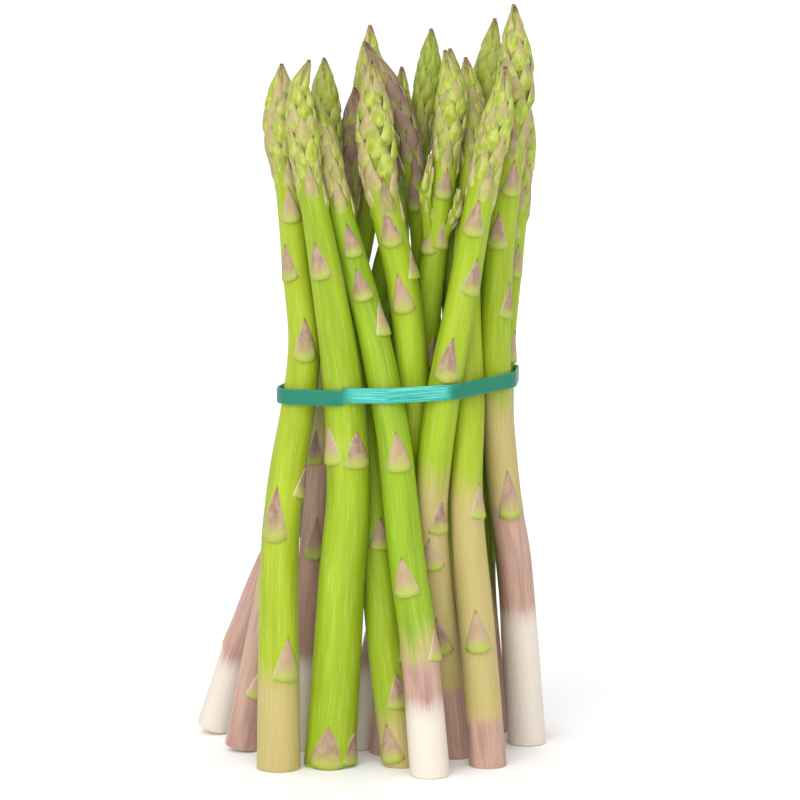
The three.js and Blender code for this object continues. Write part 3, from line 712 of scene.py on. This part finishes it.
def stem_finish():
    """Waxy skin: green above, with tan, blushed and pale stretches below, and a cut end."""
    f = Finish("asparagus stem skin", IOR=1.45, Specular_IOR_Level=0.4, Subsurface_Weight=0.0)
    skin = f.fact("skin")
    mark = f.fact("mark", "Vector")
    yellow = f.fact("mark", "Alpha")
    pale, blush, tan = f.parts(mark)
    leaf = f.parts(f.fact("leaf", "Vector"))
    cut = leaf[1]
    head = f.fact("leaf", "Alpha")
    broad = f.noise(f.stretch(skin, (0.8, 0.8, 0.16)), 1.6, 2)
    streak = f.noise(f.stretch(skin, (5.5, 5.5, 0.35)), 2.2, 4, 0.6)
    thread = f.noise(f.stretch(skin, (16, 16, 0.5)), 2.5, 3, 0.6)
    speck = f.noise(f.stretch(skin, (3, 3, 3)), 9.0, 3, 0.6)
    bright = f.mix(yellow, colour(0x98C00C), colour(0xBECE22))
    deep = f.mix(yellow, colour(0x7AA000), colour(0xA4B60A))
    green = f.mix(broad.step(0.2, 0.8), deep, bright)
    # Painted highlight: pale yellow-green streaks along the stem, at random places, stand for glossy
    # highlights on the waxy skin.
    green = f.mix(streak.step(0.45, 0.8) * 0.5, green, colour(0xD2E070))
    green = f.mix(thread.step(0.55, 0.8) * 0.15, green, colour(0x9CAE18))
    uneven = (broad - 0.5) * 0.7 + (streak - 0.5) * 0.5
    tanned = (tan + uneven * 0.9).step(0.25, 0.85)
    skin_colour = f.mix(tanned * 0.8, green, f.mix(streak, colour(0xC2A568), colour(0xDCC294)))
    blushed = (blush + uneven * 0.8).step(0.3, 0.8)
    lilac = f.mix((broad * 0.7 + streak * 0.5).step(0.4, 0.8), colour(0xAA7880), colour(0xD9AEA6))
    skin_colour = f.mix(blushed * 0.78, skin_colour, lilac)
    white = f.mix(streak, colour(0xDDC4B8), colour(0xF0E4D8))
    skin_colour = f.mix((pale + uneven * 0.7).step(0.2, 0.8), skin_colour, white)
    cream = (pale * 1.6 - 0.75 + uneven * 0.4).step(0.3, 1.0)
    skin_colour = f.mix(cream * 0.7, skin_colour, colour(0xF3ECDD))
    skin_colour = f.mix(speck.step(0.62, 0.72) * 0.16, skin_colour, colour(0x8A7A4A))
    skin_colour = f.mix(head * 0.6, skin_colour, colour(0x98A02A))
    end = f.mix(f.noise(f.stretch(skin, (3, 3, 1)), 6.0), colour(0xC9B48C), colour(0xE6DBBE))
    f.feed("Base Color", f.mix(cut, skin_colour, end))
    f.feed("Roughness", (0.38 + 0.16 * speck + 0.25 * cut).kept())
    f.bump(thread * 0.6 + streak * 0.7 + speck * 0.25, 0.35, 0.0006)
    return f.material


def scale_finish(purple):
    """Papery scale: a pale yellow-green base, mauve above, thin pale edges and a brown point."""
    f = Finish("asparagus scale %02d" % round(purple * 100), IOR=1.45, Specular_IOR_Level=0.35)
    skin = f.fact("skin")
    leaf = f.fact("leaf", "Vector")
    head = f.fact("leaf", "Alpha")
    up, across, chance = f.parts(leaf)
    pale, blush, tan = f.parts(f.fact("mark", "Vector"))
    off = ((across - 0.5) * 2).size()
    streak = f.noise(f.stretch(skin, (7, 7, 0.8)), 2.6, 4, 0.6)
    blotch = f.noise(skin, 3.5, 3)
    mauve = f.mix(blotch.step(0.3, 0.7), colour(0x9A7868), colour(0xC0A086))
    mauve = f.mix(chance.step(0.35, 0.9) * 0.6, mauve, colour(0xCCB28A))
    mauve = f.mix((pale * 0.6 + blush * 0.5).kept(), mauve, colour(0xE0B2AE))
    dark = f.mix(blotch, colour(0x6C4A50), colour(0x94706E))
    mauve = f.mix(max(0.0, purple - 0.6) * 1.6, mauve, dark)
    body = f.mix((up + (streak - 0.5) * 0.35).step(-0.05, 0.5), colour(0xBACA4A), mauve)
    green = f.mix(blotch.step(0.3, 0.7), colour(0x9AAE1E), colour(0xCBD864))
    green = f.mix(max(0.0, 0.3 - purple) * 2.2, green, colour(0x7E9428))
    green = f.mix(max(0.0, purple - 0.6), green, colour(0x8E7E50))
    reach = 0.04 + 0.5 * (1 - purple)
    tinted = (up + (chance - 0.5) * 0.5 + (streak - 0.5) * 0.5 - off * 0.12).step(reach, reach + 0.45)
    head_body = f.mix(tinted * min(1.0, 0.42 + purple * 0.6), green, mauve)
    body = f.mix(head, body, head_body)
    body = f.mix(streak.step(0.45, 0.8) * 0.3, body, colour(0xE0CBA0))
    body = f.mix(off.step(0.78, 1.0) * (0.6 - 0.3 * head), body, colour(0xEADAC0))
    body = f.mix(up.step(0.88, 1.0) * 0.5, body, colour(0xA27052))
    f.feed("Base Color", body)
    f.feed("Roughness", (0.48 + 0.2 * streak).kept())
    f.bump(streak, 0.4, 0.0005)
    return f.material


def rubber_finish():
    """Shiny teal rubber with a fine crinkle along the stretch, and a painted highlight: a lighter, rippled
    teal on the front of the band.
    """
    f = Finish("teal rubber", IOR=1.5, Specular_IOR_Level=0.3, Coat_Roughness=0.2)
    run = f.fact("run")
    ripple = f.noise(f.stretch(run, (14, 14, 5)), 3.0, 3, 0.6)
    cloud = f.noise(f.stretch(run, (4, 4, 1)), 1.5, 2)
    x, y, up = f.parts(run)
    place = f.node("ShaderNodeTexCoord", out="Object")
    across, depth, height = f.parts(place)
    edge = (up.size()).step(0.38, 0.5)
    # Painted highlight: a stretch of the band's front, facing the camera, is painted a lighter rippled teal to
    # stand for the light it reflects.
    painted_front_highlight = (across.step(-0.009, -0.004) * (1 - across.step(0.0215, 0.0255)) * (0 - depth).step(0.0, 0.01))
    teal = f.mix(cloud, colour(0x007C60), colour(0x008C70))
    painted_highlight_teal = f.mix(ripple.step(0.42, 0.62), colour(0x1FAE9B), colour(0x6FDCCF))
    teal = f.mix(painted_front_highlight, teal, painted_highlight_teal)
    f.feed("Base Color", f.mix(edge * 0.2, teal, colour(0x4FC9B8)))
    f.feed("Roughness", (0.28 + 0.2 * ripple).kept())
    f.feed("Coat Weight", (0.08 + 0.12 * cloud).kept())
    f.bump(ripple, 0.5, 0.0006)
    return f.material


def floor_finish():
    f = Finish("pale floor", Specular_IOR_Level=0.2)
    place = f.node("ShaderNodeTexCoord", out="Object")
    grain = f.noise(place, 3.0, 2)
    f.feed("Base Color", f.mix(grain, (0.95, 0.95, 0.95, 1), (0.97, 0.97, 0.97, 1)))
    f.feed("Roughness", (0.55 + 0.1 * grain).kept())
    return f.material


def make_camera():
    data = bpy.data.cameras.new("front view")
    data.lens = LENS
    data.sensor_width = 36
    data.clip_end = 50
    camera = bpy.data.objects.new("front view", data)
    target = Vector((-MIDDLE[0] * MM, -MIDDLE[1] * MM, VIEW_HEIGHT))
    back = Vector((0, -math.cos(VIEW_TILT), math.sin(VIEW_TILT))) * VIEW_DISTANCE
    camera.location = target + back
    camera.rotation_euler = (-back).to_track_quat("-Z", "Y").to_euler()
    bpy.context.scene.collection.objects.link(camera)
    bpy.context.scene.camera = camera


def make_sun(name, towards, breadth, strength):
    """Even light from one side, as broad as a softbox."""
    data = bpy.data.lights.new(name, "SUN")
    data.angle = math.radians(breadth)
    data.energy = strength
    light = bpy.data.objects.new(name, data)
    light.location = towards
    light.rotation_euler = Vector(towards).to_track_quat("Z", "Y").to_euler()
    bpy.context.scene.collection.objects.link(light)


def make_studio():
    scene = bpy.context.scene
    scene.view_settings.view_transform = "Standard"
    world = bpy.data.worlds.new("soft white room")
    scene.world = world
    world.use_nodes = True
    room = world.node_tree.nodes["Background"]
    room.inputs["Color"].default_value = (1, 1, 1, 1)
    room.inputs["Strength"].default_value = 0.92
    make_sun("front softbox", (-0.25, -1, 0.62), 60, 2.0)
    bm = bmesh.new()
    bmesh.ops.create_grid(bm, x_segments=1, y_segments=1, size=6)
    mesh = bpy.data.meshes.new("floor")
    bm.to_mesh(mesh)
    bm.free()
    mesh.materials.append(floor_finish())
    floor = bpy.data.objects.new("floor", mesh)
    scene.collection.objects.link(floor)


make_camera()
make_studio()
stem_skin = stem_finish()
scale_skins = {}
for number, spear in enumerate(SPEARS):
    shade = spear["purple"]
    if shade not in scale_skins:
        scale_skins[shade] = scale_finish(shade)
    make_spear(spear, number, [stem_skin, scale_skins[shade]])
make_band(rubber_finish())
